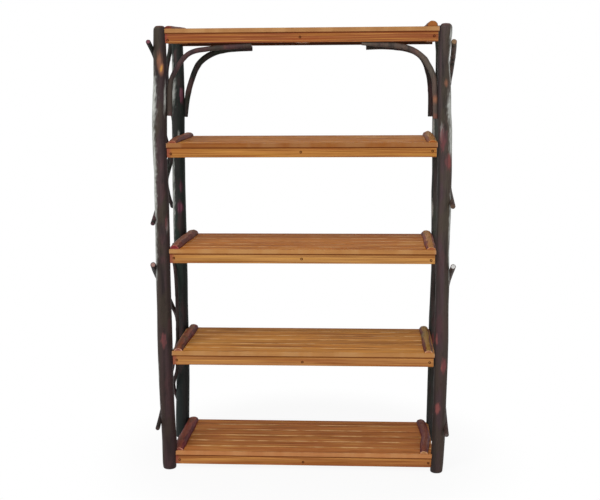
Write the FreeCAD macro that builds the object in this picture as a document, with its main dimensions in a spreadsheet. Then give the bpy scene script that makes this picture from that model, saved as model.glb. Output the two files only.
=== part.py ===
import FreeCAD, Part
import math
import os

import Sketcher
from FreeCAD import Placement, Rotation, Vector

# Rustic shelf stand: four bark-on logs carry five slatted oak shelves. Split-log rails lie on the
# ends of each shelf, bent sticks brace the top shelf, and bowed twigs cross each side of the stand.
# Millimetres, +Z up, front towards -Y, origin on the floor in the middle of the stand.

# Driving sizes
SIZES = {
    # Shelf levels, from the floor up
    "bottom_shelf_top": 78,
    "bay_4_pitch": 432,
    "bay_3_pitch": 428,
    "bay_2_pitch": 430,
    "bay_1_pitch": 449,
    # Boards
    "slat_length": 1081,
    "slat_width": 65,
    "slat_gap": 3.2,
    "slat_count": 6,
    "slat_thick": 19,
    "board_round": 2,
    "apron_inset": 4,
    "apron_height": 38,
    "top_back_apron_height": 47,
    "apron_thick": 19,
    "apron_setback": 2,
    "cleat_width": 32,
    "batten_width": 40,
    # Logs
    "left_log_radius": 28.7,
    "right_log_radius": 26.7,
    "log_rise": 12,
    "log_top_loss": 1.5,
    "log_top_taper": 64,
    "log_end_round": 9,
    "seat_depth": 2.5,
    "slat_slack": 0.5,
    # Split-log rails
    "rail_radius": 23,
    "rail_gap": 3,
    "rail_setback": 10,
    "rail_end_round": 4,
    # Bent brackets: every stick has its own drop from the apron, reach along it and bend
    "bracket_radius": 10,
    "front_left_bracket_drop": 283,
    "front_left_bracket_reach": 342,
    "front_left_bracket_bend": 175,
    "front_right_bracket_drop": 298,
    "front_right_bracket_reach": 306,
    "front_right_bracket_bend": 175,
    "back_left_bracket_drop": 300,
    "back_left_bracket_reach": 307,
    "back_left_bracket_bend": 220,
    "back_right_bracket_drop": 303,
    "back_right_bracket_reach": 277,
    "back_right_bracket_bend": 168,
    # Bowed twigs, measured from the shelves and from the axes of the logs
    "left_twig_radius": 7.2,
    "right_twig_radius": 9.2,
    "twig_seat": 0.1,
    "twig_bend_share": 0.975,
    "left_upper_twig_top_drop": 50,
    "left_upper_twig_foot_rise": 120,
    "left_lower_twig_top_drop": 55,
    "left_lower_twig_foot_rise": 109,
    "right_upper_twig_top_drop": 59,
    "right_upper_twig_foot_rise": 182,
    "right_lower_twig_top_drop": 58,
    "right_lower_twig_foot_rise": 100,
    "front_twig_tip_reach": 61,
    "front_twig_belly_reach": 43,
    "front_twig_bend": 132,
    "front_twig_sweep": 900,
    "back_twig_tip_reach": 56.8,
    "back_twig_belly_reach": 131,
    "back_twig_bend": 350,
    "back_twig_sweep": 700,
    "back_twig_slant": 13.2,
}

SIDES = {"left": -1, "right": 1}
ROWS = {"front": -1, "back": 1}
SHELVES = (1, 2, 3, 4, 5)

doc = FreeCAD.newDocument("ShelfStand")
sheet = doc.addObject("Spreadsheet::Sheet", "Sizes")
for line, (alias, number) in enumerate(SIZES.items(), start=1):
    sheet.set(f"A{line}", alias)
    sheet.set(f"B{line}", str(number))
    sheet.setAlias(f"B{line}", alias)
doc.recompute()

# Places that several pieces share, as expressions on the sheet
SHELF_TOPS = {5: "Sizes.bottom_shelf_top"}
for shelf in (4, 3, 2, 1):
    SHELF_TOPS[shelf] = f"{SHELF_TOPS[shelf + 1]} + Sizes.bay_{shelf}_pitch"
LOG_HEIGHT = f"({SHELF_TOPS[1]} + Sizes.log_rise)"
SLAT_HALF = "Sizes.slat_length / 2"
APRON_HALF = f"({SLAT_HALF} - Sizes.apron_inset)"
CLEAR_HALF = f"({APRON_HALF} - Sizes.seat_depth)"
SHELF_DEPTH = "(Sizes.slat_count * Sizes.slat_width + (Sizes.slat_count - 1) * Sizes.slat_gap)"
APRON_FACE = f"({SHELF_DEPTH} / 2 - Sizes.apron_setback)"
APRON_LINE = f"({APRON_FACE} - Sizes.apron_thick / 2)"
CLEAT_LENGTH = f"(2 * ({APRON_FACE} - Sizes.apron_thick))"
TWIG_SHELVES = {"upper": (1, 3), "lower": (3, 5)}

nodes = []


def size(alias):
    """The number that the sheet holds for one size."""
    return float(sheet.get(alias))


def value(expression):
    """The number that an expression on the sheet gives."""
    return float(sheet.evalExpression(expression))


def apron_height(row, shelf):
    """The back apron of the top shelf is a deeper board than the others."""
    if row == "back" and shelf == 1:
        return "Sizes.top_back_apron_height"
    return "Sizes.apron_height"


def apron_bottom(row, shelf):
    return f"{SHELF_TOPS[shelf]} - Sizes.slat_thick - {apron_height(row, shelf)}"


def bind(thing, **expressions):
    """Tie properties of a document object to the sheet."""
    for name, expression in expressions.items():
        thing.setExpression(name, expression)


def put(thing, x, y, z):
    """Tie the place of a document object to the sheet."""
    thing.setExpression("Placement.Base.x", x)
    thing.setExpression("Placement.Base.y", y)
    thing.setExpression("Placement.Base.z", z)


def node(thing, label):
    """Keep a document object as one sub-part under its own label."""
    thing.Label = label
    nodes.append(thing)
    return thing


def origin_feature(body, role):
    for feature in body.Origin.OriginFeatures:
        if feature.Role == role:
            return feature
    raise ValueError(role)


def sketch_on(body, role, name):
    sketch = body.newObject("Sketcher::SketchObject", name)
    sketch.AttachmentSupport = [(origin_feature(body, role), "")]
    sketch.MapMode = "FlatFace"
    return sketch


def dimension(sketch, name, expression, *constraint):
    """Add a named dimension to a sketch and tie it to the sheet."""
    index = sketch.addConstraint(Sketcher.Constraint(*constraint))
    sketch.renameConstraint(index, name)
    sketch.setExpression(f"Constraints.{name}", expression)


# Boards: a rounded section that is padded along the board
def rounded_section(body, name, width, thick):
    """Rectangle with eased corners, from the sketch origin to width and thick."""
    sketch = sketch_on(body, "YZ_Plane", name)
    ease = size("board_round")
    across = 40.0
    upward = 20.0
    corners = (
        (Vector(ease, ease), 180),
        (Vector(across - ease, ease), 270),
        (Vector(across - ease, upward - ease), 0),
        (Vector(ease, upward - ease), 90),
    )
    arcs = []
    for centre, start in corners:
        circle = Part.Circle(centre, Vector(0, 0, 1), ease)
        arc = Part.ArcOfCircle(circle, math.radians(start), math.radians(start + 90))
        arcs.append(sketch.addGeometry(arc))
    for place, arc in enumerate(arcs):
        following = arcs[(place + 1) % 4]
        start = sketch.getPoint(arc, 2)
        end = sketch.getPoint(following, 1)
        edge = sketch.addGeometry(Part.LineSegment(start, end))
        sketch.addConstraint(Sketcher.Constraint("Tangent", arc, 2, edge, 1))
        sketch.addConstraint(Sketcher.Constraint("Tangent", edge, 2, following, 1))
        direction = "Horizontal" if place % 2 == 0 else "Vertical"
        sketch.addConstraint(Sketcher.Constraint(direction, edge))
    for arc in arcs[1:]:
        sketch.addConstraint(Sketcher.Constraint("Equal", arcs[0], arc))
    dimension(sketch, "ease", "Sizes.board_round", "Radius", arcs[0], ease)
    dimension(sketch, "side", "Sizes.board_round", "DistanceX", -1, 1, arcs[0], 3, ease)
    dimension(sketch, "base", "Sizes.board_round", "DistanceY", -1, 1, arcs[0], 3, ease)
    inner_width = f"{width} - 2 * Sizes.board_round"
    inner_thick = f"{thick} - 2 * Sizes.board_round"
    dimension(sketch, "wide", inner_width, "DistanceX", arcs[0], 3, arcs[1], 3, across - 2 * ease)
    dimension(sketch, "thick", inner_thick, "DistanceY", arcs[1], 3, arcs[2], 3, upward - 2 * ease)
    return sketch


def board(name, length, width, thick):
    """Board along +X from its own origin. Returns its body and its pad."""
    body = doc.addObject("PartDesign::Body", name)
    pad = body.newObject("PartDesign::Pad", f"{name}_pad")
    pad.Profile = rounded_section(body, f"{name}_section", width, thick)
    bind(pad, Length=length)
    return body, pad


def slat_deck(name, top):
    """Deck of slats, one padded slat repeated from front to back."""
    body, pad = board(name, "Sizes.slat_length", "Sizes.slat_width", "Sizes.slat_thick")
    body.AllowCompound = True
    doc.recompute()
    row = body.newObject("PartDesign::LinearPattern", f"{name}_row")
    row.Originals = [pad]
    row.Direction = (origin_feature(body, "Y_Axis"), [""])
    bind(row, Length="(Sizes.slat_count - 1) * (Sizes.slat_width + Sizes.slat_gap)")
    bind(row, Occurrences="Sizes.slat_count")
    body.Tip = row
    put(body, f"-({SLAT_HALF})", f"-{SHELF_DEPTH} / 2", f"{top} - Sizes.slat_thick")
    return body


# Logs: turned from a half profile with a tapered top, then rounded at both ends
def log_body(side, row):
    name = f"log_{row}_{side}"
    radius = size(f"{side}_log_radius")
    height = value(LOG_HEIGHT)
    shoulder = height - size("log_top_taper")
    loss = size("log_top_loss")
    body = doc.addObject("PartDesign::Body", name)
    profile = sketch_on(body, "XZ_Plane", f"{name}_profile")
    points = (
        Vector(0, 0),
        Vector(radius, 0),
        Vector(radius, shoulder),
        Vector(radius - loss, height),
        Vector(0, height),
    )
    lines = []
    for place, point in enumerate(points):
        following = points[(place + 1) % len(points)]
        lines.append(profile.addGeometry(Part.LineSegment(point, following)))
    for place, line in enumerate(lines):
        following = lines[(place + 1) % len(lines)]
        profile.addConstraint(Sketcher.Constraint("Coincident", line, 2, following, 1))
    foot, flank, taper, top, core = lines
    profile.addConstraint(Sketcher.Constraint("Coincident", foot, 1, -1, 1))
    profile.addConstraint(Sketcher.Constraint("Horizontal", foot))
    profile.addConstraint(Sketcher.Constraint("Vertical", flank))
    profile.addConstraint(Sketcher.Constraint("Horizontal", top))
    profile.addConstraint(Sketcher.Constraint("Vertical", core))
    shoulder_rise = f"{LOG_HEIGHT} - Sizes.log_top_taper"
    top_radius = f"Sizes.{side}_log_radius - Sizes.log_top_loss"
    dimension(profile, "radius", f"Sizes.{side}_log_radius", "DistanceX", foot, 1, foot, 2, radius)
    dimension(profile, "shoulder", shoulder_rise, "DistanceY", flank, 1, flank, 2, shoulder)
    dimension(profile, "height", LOG_HEIGHT, "DistanceY", core, 2, core, 1, height)
    dimension(profile, "top", top_radius, "DistanceX", top, 2, top, 1, radius - loss)
    turned = body.newObject("PartDesign::Revolution", f"{name}_turned")
    turned.Profile = profile
    turned.ReferenceAxis = (profile, ["V_Axis"])
    turned.Angle = 360
    doc.recompute()
    rims = [
        f"Edge{place}"
        for place, edge in enumerate(turned.Shape.Edges, start=1)
        if edge.Closed and min(edge.BoundBox.ZMin, height - edge.BoundBox.ZMax) < 1
    ]
    ends = body.newObject("PartDesign::Fillet", f"{name}_ends")
    ends.Base = (turned, rims)
    bind(ends, Radius="Sizes.log_end_round")
    middle = f"{SIDES[side]} * ({CLEAR_HALF} + Sizes.{side}_log_radius)"
    put(body, middle, f"{ROWS[row]} * {APRON_LINE}", "0")
    return body


def seat_box(name, side, row, face, bottom, height):
    """Cutter that leaves a flat seat on the inside of a log, facing the middle of the stand."""
    sign = SIDES[side]
    overlap = f"Sizes.{side}_log_radius / 4"
    depth = f"({face} - {CLEAR_HALF} + {overlap})"
    box = doc.addObject("Part::Box", name)
    bind(box, Length=depth, Width=f"3 * Sizes.{side}_log_radius", Height=height)
    inner = f"{CLEAR_HALF} - {overlap}" if sign > 0 else f"-({face})"
    put(box, inner, f"{ROWS[row]} * {APRON_LINE} - 1.5 * Sizes.{side}_log_radius", bottom)
    return box


def log_post(side, row):
    tag = f"{row}_{side}"
    cutters = []
    for shelf in SHELVES:
        top = SHELF_TOPS[shelf]
        under = f"{top} - Sizes.slat_thick"
        slat_face = f"{SLAT_HALF} + Sizes.slat_slack"
        slat_bottom = f"{under} - Sizes.slat_slack"
        slat_height = "Sizes.slat_thick + 2 * Sizes.slat_slack"
        cutters.append(seat_box(f"slat_seat_{tag}_{shelf}", side, row, slat_face, slat_bottom, slat_height))
        bottom = apron_bottom(row, shelf)
        height = apron_height(row, shelf)
        cutters.append(seat_box(f"apron_seat_{tag}_{shelf}", side, row, APRON_HALF, bottom, height))
    cutting = doc.addObject("Part::MultiFuse", f"log_cutters_{tag}")
    cutting.Shapes = cutters
    post = doc.addObject("Part::Cut", f"post_{tag}_cut")
    post.Base = log_body(side, row)
    post.Tool = cutting
    return node(post, f"post_{tag}")


# Rails: split logs, flat side down on the slats at the shelf ends
def rail(side, shelf):
    sign = SIDES[side]
    name = f"shelf_{shelf}_rail_{side}"
    body = doc.addObject("PartDesign::Body", f"{name}_body")
    sketch = sketch_on(body, "YZ_Plane", f"{name}_section")
    radius = size("rail_radius")
    circle = Part.Circle(Vector(0, 0), Vector(0, 0, 1), radius)
    arc = sketch.addGeometry(Part.ArcOfCircle(circle, 0, math.pi))
    flat = sketch.addGeometry(Part.LineSegment(Vector(-radius, 0), Vector(radius, 0)))
    sketch.addConstraint(Sketcher.Constraint("Coincident", arc, 3, -1, 1))
    sketch.addConstraint(Sketcher.Constraint("Coincident", arc, 2, flat, 1))
    sketch.addConstraint(Sketcher.Constraint("Coincident", arc, 1, flat, 2))
    sketch.addConstraint(Sketcher.Constraint("PointOnObject", flat, 1, -1))
    sketch.addConstraint(Sketcher.Constraint("PointOnObject", flat, 2, -1))
    dimension(sketch, "radius", "Sizes.rail_radius", "Radius", arc, radius)
    pad = body.newObject("PartDesign::Pad", f"{name}_pad")
    pad.Profile = sketch
    bind(pad, Length=f"{SHELF_DEPTH} - 2 * Sizes.rail_setback")
    doc.recompute()
    rims = [
        f"Edge{place}"
        for place, edge in enumerate(pad.Shape.Edges, start=1)
        if isinstance(edge.Curve, Part.Circle)
    ]
    ends = body.newObject("PartDesign::Fillet", f"{name}_ends")
    ends.Base = (pad, rims)
    bind(ends, Radius="Sizes.rail_end_round")
    body.Placement = Placement(Vector(), Rotation(Vector(0, 0, 1), 90))
    put(
        body,
        f"{sign} * ({CLEAR_HALF} - Sizes.rail_gap - Sizes.rail_radius)",
        f"-{SHELF_DEPTH} / 2 + Sizes.rail_setback",
        SHELF_TOPS[shelf],
    )
    return node(body, name)


# Shelves: slats on two aprons, two end cleats and a middle batten
def apron(row, shelf):
    name = f"shelf_{shelf}_apron_{row}"
    body, pad = board(f"{name}_board", f"2 * {APRON_HALF}", "Sizes.apron_thick", apron_height(row, shelf))
    front = f"-{APRON_FACE}" if row == "front" else f"{APRON_FACE} - Sizes.apron_thick"
    put(body, f"-({APRON_HALF})", front, apron_bottom(row, shelf))
    return node(body, name)


def cleats(shelf):
    """Two end cleats and a middle batten, between the aprons of one shelf."""
    name = f"shelf_{shelf}_cleats"
    bottom = apron_bottom("front", shelf)
    pieces = []
    for tag, width, left_side in (
        ("left", "Sizes.cleat_width", f"-({APRON_HALF})"),
        ("middle", "Sizes.batten_width", "-Sizes.batten_width / 2"),
        ("right", "Sizes.cleat_width", f"{APRON_HALF} - Sizes.cleat_width"),
    ):
        piece = doc.addObject("Part::Box", f"{name}_{tag}")
        bind(piece, Length=width, Width=CLEAT_LENGTH, Height="Sizes.apron_height")
        put(piece, left_side, f"-{CLEAT_LENGTH} / 2", bottom)
        pieces.append(piece)
    group = doc.addObject("Part::Compound", f"{name}_group")
    group.Links = pieces
    return node(group, name)


# Brackets: a stick bent from the inside of a log to the underside of the top apron
def bracket(side, row):
    name = f"bracket_{row}_{side}"
    body = doc.addObject("PartDesign::Body", f"{name}_body")
    own = f"{row}_{side}_bracket"
    bend = size(f"{own}_bend")
    rise = size(f"{own}_drop") - size("bracket_radius") - bend
    reach = size(f"{own}_reach") - size("bracket_radius") - bend
    path = sketch_on(body, "XZ_Plane", f"{name}_path")
    upright = path.addGeometry(Part.LineSegment(Vector(0, 0), Vector(0, rise)))
    circle = Part.Circle(Vector(bend, rise), Vector(0, 0, 1), bend)
    turn = path.addGeometry(Part.ArcOfCircle(circle, math.pi / 2, math.pi))
    level = path.addGeometry(Part.LineSegment(Vector(bend, rise + bend), Vector(bend + reach, rise + bend)))
    path.addConstraint(Sketcher.Constraint("Coincident", upright, 1, -1, 1))
    path.addConstraint(Sketcher.Constraint("Vertical", upright))
    path.addConstraint(Sketcher.Constraint("Tangent", upright, 2, turn, 2))
    path.addConstraint(Sketcher.Constraint("Tangent", turn, 1, level, 1))
    path.addConstraint(Sketcher.Constraint("Horizontal", level))
    arm = f"Sizes.{own}_drop - Sizes.bracket_radius - Sizes.{own}_bend"
    tail = f"Sizes.{own}_reach - Sizes.bracket_radius - Sizes.{own}_bend"
    dimension(path, "arm", arm, "DistanceY", upright, 1, upright, 2, rise)
    dimension(path, "bend", f"Sizes.{own}_bend", "Radius", turn, bend)
    dimension(path, "tail", tail, "DistanceX", level, 1, level, 2, reach)
    section = sketch_on(body, "XY_Plane", f"{name}_section")
    ring = section.addGeometry(Part.Circle(Vector(0, 0), Vector(0, 0, 1), size("bracket_radius")))
    section.addConstraint(Sketcher.Constraint("Coincident", ring, 3, -1, 1))
    dimension(section, "radius", "Sizes.bracket_radius", "Radius", ring, size("bracket_radius"))
    doc.recompute()
    stick = body.newObject("PartDesign::AdditivePipe", f"{name}_stick")
    stick.Profile = section
    stick.Spine = (path, ["Edge1", "Edge2", "Edge3"])
    if side == "right":
        body.Placement = Placement(Vector(), Rotation(Vector(0, 0, 1), 180))
    put(
        body,
        f"{SIDES[side]} * ({CLEAR_HALF} - Sizes.bracket_radius)",
        f"{ROWS[row]} * {APRON_LINE}",
        f"{apron_bottom(row, 1)} - Sizes.{own}_drop",
    )
    return node(body, name)


# Twigs: sticks bowed from three tangent arcs, nailed to the outside of the logs
def bow_path(body, name, row, depth, half, bend, sweep):
    """Belly at the sketch origin, tips at the given depth in front of or behind it."""
    facing = 0 if row == "front" else math.pi
    # A belly is always rounder than the one even arc through its tips, with arms that run straighter
    even_arc = f"(({depth})^2 + ({half})^2) / (2 * ({depth}))"
    belly_bend = f"min(Sizes.{bend}; Sizes.twig_bend_share * {even_arc})"
    reach = value(depth)
    tall = value(half)
    inner = value(belly_bend)
    outer = size(sweep)
    aim = Vector(inner - reach, tall)
    along = (aim.Length**2 + (inner - outer) ** 2 - outer**2) / (2 * (inner - outer))
    joint = math.atan2(aim.y, aim.x) - math.acos(along / aim.Length)
    tip = math.atan2(aim.y + (outer - inner) * math.sin(joint), aim.x + (outer - inner) * math.cos(joint))
    sketch = sketch_on(body, "YZ_Plane", f"{name}_path")
    arcs = []
    for radius, lean, start, end in (
        (outer, -joint, -tip, -joint),
        (inner, 0, -joint, joint),
        (outer, joint, joint, tip),
    ):
        middle = Vector(-inner + (inner - radius) * math.cos(lean), (inner - radius) * math.sin(lean))
        if row == "back":
            middle = -middle
        circle = Part.Circle(middle, Vector(0, 0, 1), radius)
        arcs.append(sketch.addGeometry(Part.ArcOfCircle(circle, facing + start, facing + end)))
    first, belly, last = arcs
    toward, away = (1, -1) if row == "front" else (-1, 1)
    sketch.addConstraint(Sketcher.Constraint("Tangent", first, 2, belly, 1))
    sketch.addConstraint(Sketcher.Constraint("Tangent", belly, 2, last, 1))
    sketch.addConstraint(Sketcher.Constraint("Equal", first, last))
    sketch.addConstraint(Sketcher.Constraint("PointOnObject", belly, 3, -1))
    dimension(sketch, "bend", belly_bend, "Radius", belly, inner)
    dimension(sketch, "sweep", f"Sizes.{sweep}", "Radius", first, outer)
    dimension(sketch, "belly", f"{away} * {belly_bend}", "DistanceX", -1, 1, belly, 3, away * inner)
    for tag, arc, end, rise in (("first", first, 1, away), ("last", last, 2, toward)):
        dimension(sketch, f"{tag}_depth", f"{away} * ({depth})", "DistanceX", -1, 1, arc, end, away * reach)
        dimension(sketch, f"{tag}_half", f"{rise} * ({half})", "DistanceY", -1, 1, arc, end, rise * tall)
    return sketch


def twig(side, panel, row):
    name = f"twig_{side}_{panel}_{row}"
    sign = SIDES[side]
    radius = f"Sizes.{side}_twig_radius"
    off_axis = f"(Sizes.{side}_log_radius + Sizes.twig_seat + {radius})"
    above, below = TWIG_SHELVES[panel]
    top = f"({SHELF_TOPS[above]} - Sizes.{side}_{panel}_twig_top_drop)"
    foot = f"({SHELF_TOPS[below]} + Sizes.{side}_{panel}_twig_foot_rise)"
    if row == "front":
        belly = f"{APRON_LINE} + Sizes.front_twig_belly_reach"
        depth = f"2 * {APRON_LINE} + Sizes.front_twig_belly_reach + Sizes.front_twig_tip_reach"
        outside = off_axis
        slant = 0
    else:
        belly = f"{APRON_LINE} - Sizes.back_twig_belly_reach"
        depth = "(Sizes.back_twig_belly_reach + Sizes.back_twig_tip_reach) / cos(Sizes.back_twig_slant)"
        inwards = "Sizes.back_twig_belly_reach * sin(Sizes.back_twig_slant)"
        outside = f"({off_axis} - {inwards}) / cos(Sizes.back_twig_slant)"
        slant = size("back_twig_slant")
    body = doc.addObject("PartDesign::Body", f"{name}_body")
    half = f"({top} - {foot}) / 2"
    path = bow_path(body, name, row, depth, half, f"{row}_twig_bend", f"{row}_twig_sweep")
    doc.recompute()
    section = body.newObject("Sketcher::SketchObject", f"{name}_section")
    section.AttachmentSupport = [(path, "Edge1")]
    section.MapMode = "NormalToEdge"
    ring = section.addGeometry(Part.Circle(Vector(0, 0), Vector(0, 0, 1), size(f"{side}_twig_radius")))
    section.addConstraint(Sketcher.Constraint("Coincident", ring, 3, -1, 1))
    dimension(section, "radius", radius, "Radius", ring, size(f"{side}_twig_radius"))
    doc.recompute()
    stick = body.newObject("PartDesign::AdditivePipe", f"{name}_stick")
    stick.Profile = section
    stick.Spine = (path, ["Edge1", "Edge2", "Edge3"])
    body.Placement = Placement(Vector(), Rotation(Vector(0, 0, 1), -sign * slant))
    middle = f"{sign} * ({CLEAR_HALF} + Sizes.{side}_log_radius + {outside})"
    put(body, middle, belly, f"({top} + {foot}) / 2")
    return node(body, name)


# Assembly
for side in SIDES:
    for row in ROWS:
        log_post(side, row)

for shelf in SHELVES:
    node(slat_deck(f"deck_{shelf}", SHELF_TOPS[shelf]), f"shelf_{shelf}_slats")
    for row in ROWS:
        apron(row, shelf)
    cleats(shelf)
    for side in SIDES:
        rail(side, shelf)

for side in SIDES:
    for row in ROWS:
        bracket(side, row)
    for panel in ("upper", "lower"):
        for row in ROWS:
            twig(side, panel, row)

doc.recompute()

# Every object has to be sound before a file is written
for thing in doc.Objects:
    if "Invalid" in thing.State or "Error" in thing.State:
        raise RuntimeError(f"{thing.Label} failed to rebuild: {thing.State}")
for piece in nodes:
    if piece.Shape.isNull() or not piece.Shape.isValid():
        raise RuntimeError(f"{piece.Label} has no valid shape")

os.makedirs("parts", exist_ok=True)
for piece in nodes:
    piece.Shape.exportStep(f"parts/{piece.Label}.step")
print(f"{len(nodes)} sub-parts written")
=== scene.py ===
"""Looks of the shelf stand: oak shelves between four bark-covered logs, with split-log rails, bent
brackets and bowed twigs. Metres, in the CAD model's frame: X right, Y back, Z up."""
import itertools
import math

import bpy
import numpy as np
from mathutils import Matrix, Vector, noise


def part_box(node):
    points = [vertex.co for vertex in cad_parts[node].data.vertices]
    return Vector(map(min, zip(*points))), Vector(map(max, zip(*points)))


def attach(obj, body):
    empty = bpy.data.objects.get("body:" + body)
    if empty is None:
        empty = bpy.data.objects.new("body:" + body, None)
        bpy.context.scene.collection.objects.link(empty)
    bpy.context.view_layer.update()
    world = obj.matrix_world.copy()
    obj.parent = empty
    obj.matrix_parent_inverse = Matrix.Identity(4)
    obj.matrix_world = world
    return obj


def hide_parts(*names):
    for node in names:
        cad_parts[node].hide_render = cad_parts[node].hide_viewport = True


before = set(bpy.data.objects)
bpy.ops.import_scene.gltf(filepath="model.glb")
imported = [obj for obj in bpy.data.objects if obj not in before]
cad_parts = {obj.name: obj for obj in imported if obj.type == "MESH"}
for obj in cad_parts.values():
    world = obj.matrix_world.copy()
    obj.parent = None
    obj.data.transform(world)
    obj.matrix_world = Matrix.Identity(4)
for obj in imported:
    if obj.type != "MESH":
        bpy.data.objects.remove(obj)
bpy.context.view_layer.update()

MM = 0.001
SIDES = {"left": -1, "right": 1}
ROWS = {"front": -1, "back": 1}
UP = np.array([0, 0, 1.0])
SHELVES = (1, 2, 3, 4, 5)

# Tints that all the oak shares
OCHRE_GRAIN = "A5722C"
RED_GRAIN = "8F4A26"
DARK_LINES = "703A1A"
PALE_LINES = "D49A50"
DARK_BANDS = "7A421A"
PALE_BANDS = "DEA254"
RED_BACK = "7A3612"
SLAT_GLINT = "EABC80"
SLAT_BACK_SHADE = "743A18"
PORES = "5A3014"
END_TINT = "B08A74"
RED_LOG_SHADE = "83383A"
JOINT_SHADE = "662E14"
UNDERSIDE_SHADE = "2A1414"
# Width of the paler end grain
END_WIDTH = 8 * MM

# Tints that all the bark shares
BLUSH = "55383A"
FOOT_TINT = "2E1A1A"
BACK_FOOT_TINT = "1C1E22"
SPECKS = "8C8274"
BARK_HIGHLIGHT = "C0C2BC"
KNOT_HALO = "8A5C46"
KNOT_HEART = "C08A44"
SPLIT_FIBRES = "2E1714"

WHITE = (1, 1, 1, 1)


# Node trees

def linear(code):
    """Blender's linear colour for a colour written as six hex digits."""
    parts = [int(code[i:i + 2], 16) / 255 for i in (0, 2, 4)]
    return [p / 12.92 if p <= 0.04045 else ((p + 0.055) / 1.055) ** 2.4 for p in parts] + [1.0]


class Paint:
    """The node tree of a material or a world, with short calls for the nodes used here. Each call returns a socket,
    and the last one, done or shown, returns the owner of the tree."""

    def __init__(self, owner):
        self.owner = owner
        owner.use_nodes = True
        self.tree = owner.node_tree
        self.tree.nodes.clear()

    def add(self, kind, values, out=0, **settings):
        node = self.tree.nodes.new("ShaderNode" + kind)
        for key, value in settings.items():
            setattr(node, key, value)
        for key, value in values.items():
            if isinstance(value, bpy.types.NodeSocket):
                self.tree.links.new(value, node.inputs[key])
            else:
                node.inputs[key].default_value = value
        return node.outputs[out]

    def place(self):
        return self.add("TexCoord", {}, "Object")

    def axes(self, vector):
        return tuple(self.add("SeparateXYZ", {0: vector}).node.outputs)

    def shifted(self, vector, x, y, z):
        return self.add("VectorMath", {0: vector, 1: self.add("CombineXYZ", {0: x, 1: y, 2: z})}, operation="ADD")

    def stretched(self, vector, scale):
        return self.add("VectorMath", {0: vector, 1: scale}, operation="MULTIPLY")

    def noise(self, vector, scale, detail=3.0, roughness=0.5, distortion=0.0):
        values = {"Vector": self.stretched(vector, scale), "Scale": 1.0, "Detail": detail, "Roughness": roughness,
                  "Distortion": distortion}
        return self.add("TexNoise", values)

    def math(self, operation, first, second=0.0):
        return self.add("Math", {0: first, 1: second}, operation=operation)

    def plus(self, first, second):
        return self.math("ADD", first, second)

    def minus(self, first, second):
        return self.math("SUBTRACT", first, second)

    def times(self, first, second):
        return self.math("MULTIPLY", first, second)

    def spread(self, factor, low, high, to_low=0.0, to_high=1.0):
        values = {"Value": factor, "From Min": low, "From Max": high, "To Min": to_low, "To Max": to_high}
        return self.add("MapRange", values, interpolation_type="SMOOTHSTEP")

    def ramp(self, factor, *stops):
        node = self.add("ValToRGB", {0: factor}).node
        elements = node.color_ramp.elements
        while len(elements) < len(stops):
            elements.new(0.5)
        for element, (position, code) in zip(elements, stops):
            element.position = position
            element.color = linear(code)
        return node.outputs[0]

    def mix(self, factor, first, second, blend="MIX"):
        first, second = [linear(c) if isinstance(c, str) else c for c in (first, second)]
        values = {0: factor, 6: first, 7: second}
        return self.add("Mix", values, 2, data_type="RGBA", blend_type=blend)

    def tinted(self, colour, tint, *spread):
        """The colour with a tint over it, as strong as what spread gives for the values after it."""
        return self.mix(self.spread(*spread), colour, tint)

    def grey(self, factor):
        return self.add("CombineColor", {0: factor, 1: factor, 2: factor})

    def painted(self, name):
        return self.add("Attribute", {}, 2, attribute_name=name)

    def seen_rays(self):
        """1 where a ray comes from the camera, straight or by way of gloss or glass, and 0 where it only lights."""
        rays = self.add("LightPath", {}).node.outputs
        straight = self.math("MAXIMUM", rays["Is Camera Ray"], rays["Is Glossy Ray"])
        return self.math("MAXIMUM", straight, rays["Is Transmission Ray"])

    def done(self, colour, roughness, height, depth, specular):
        bump = self.add("Bump", {"Height": height, "Distance": depth})
        values = {"Base Color": colour, "Roughness": roughness, "Normal": bump, "Specular IOR Level": specular}
        return self.shown(self.add("BsdfPrincipled", values))

    def shown(self, shader, output="OutputMaterial"):
        node = self.tree.nodes.new("ShaderNode" + output)
        self.tree.links.new(shader, node.inputs["Surface"])
        return self.owner


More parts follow.
